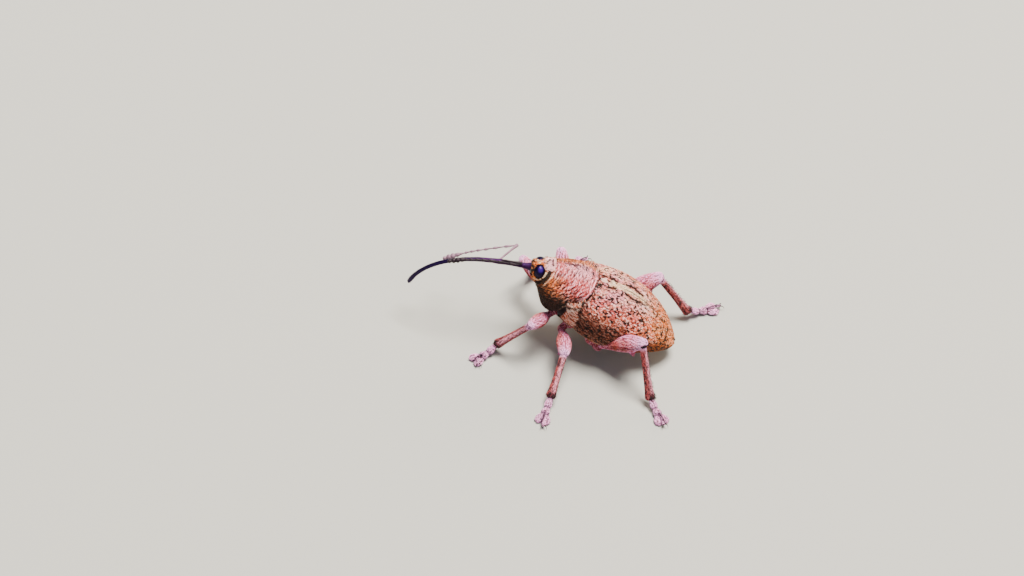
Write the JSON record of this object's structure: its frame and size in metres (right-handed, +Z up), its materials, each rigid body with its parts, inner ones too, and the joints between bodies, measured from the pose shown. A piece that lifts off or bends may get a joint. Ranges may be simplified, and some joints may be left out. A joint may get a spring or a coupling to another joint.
{
  "type": "acorn weevil",
  "caption": "Long-snouted female acorn weevil in orange-brown scales, standing as a still, life-size model with elbowed feelers.",
  "frame": {"origin": "on the floor, under the middle of the model's box", "axes": "+Z up, the head points along -Y, the animal's left side toward +X"},
  "size_m": [0.0114, 0.015, 0.0047],
  "materials": {
    "scaled_shell": "orange-brown hair-like scales over a dark shell",
    "belly": "dark brown shell under thin pale scales",
    "pale_plate": "dense cream scales",
    "eye": "black faceted eye",
    "snout": "polished black to dark red-brown shell",
    "feeler": "dark red-brown shell",
    "leg": "pink-brown shell under pale scales"
  },
  "bodies": {
    "root": {"elytron_left": "scaled_shell", "elytron_right": "scaled_shell", "pronotum": "scaled_shell", "underside": "belly", "scutellum": "pale_plate", "head": "scaled_shell", "eye_left": "eye", "eye_right": "eye", "snout": "snout", "feeler_left": "feeler", "feeler_right": "feeler", "leg_front_left": "leg", "leg_middle_left": "leg", "leg_hind_left": "leg", "leg_front_right": "leg", "leg_middle_right": "leg", "leg_hind_right": "leg"}
  },
  "joints": []
}
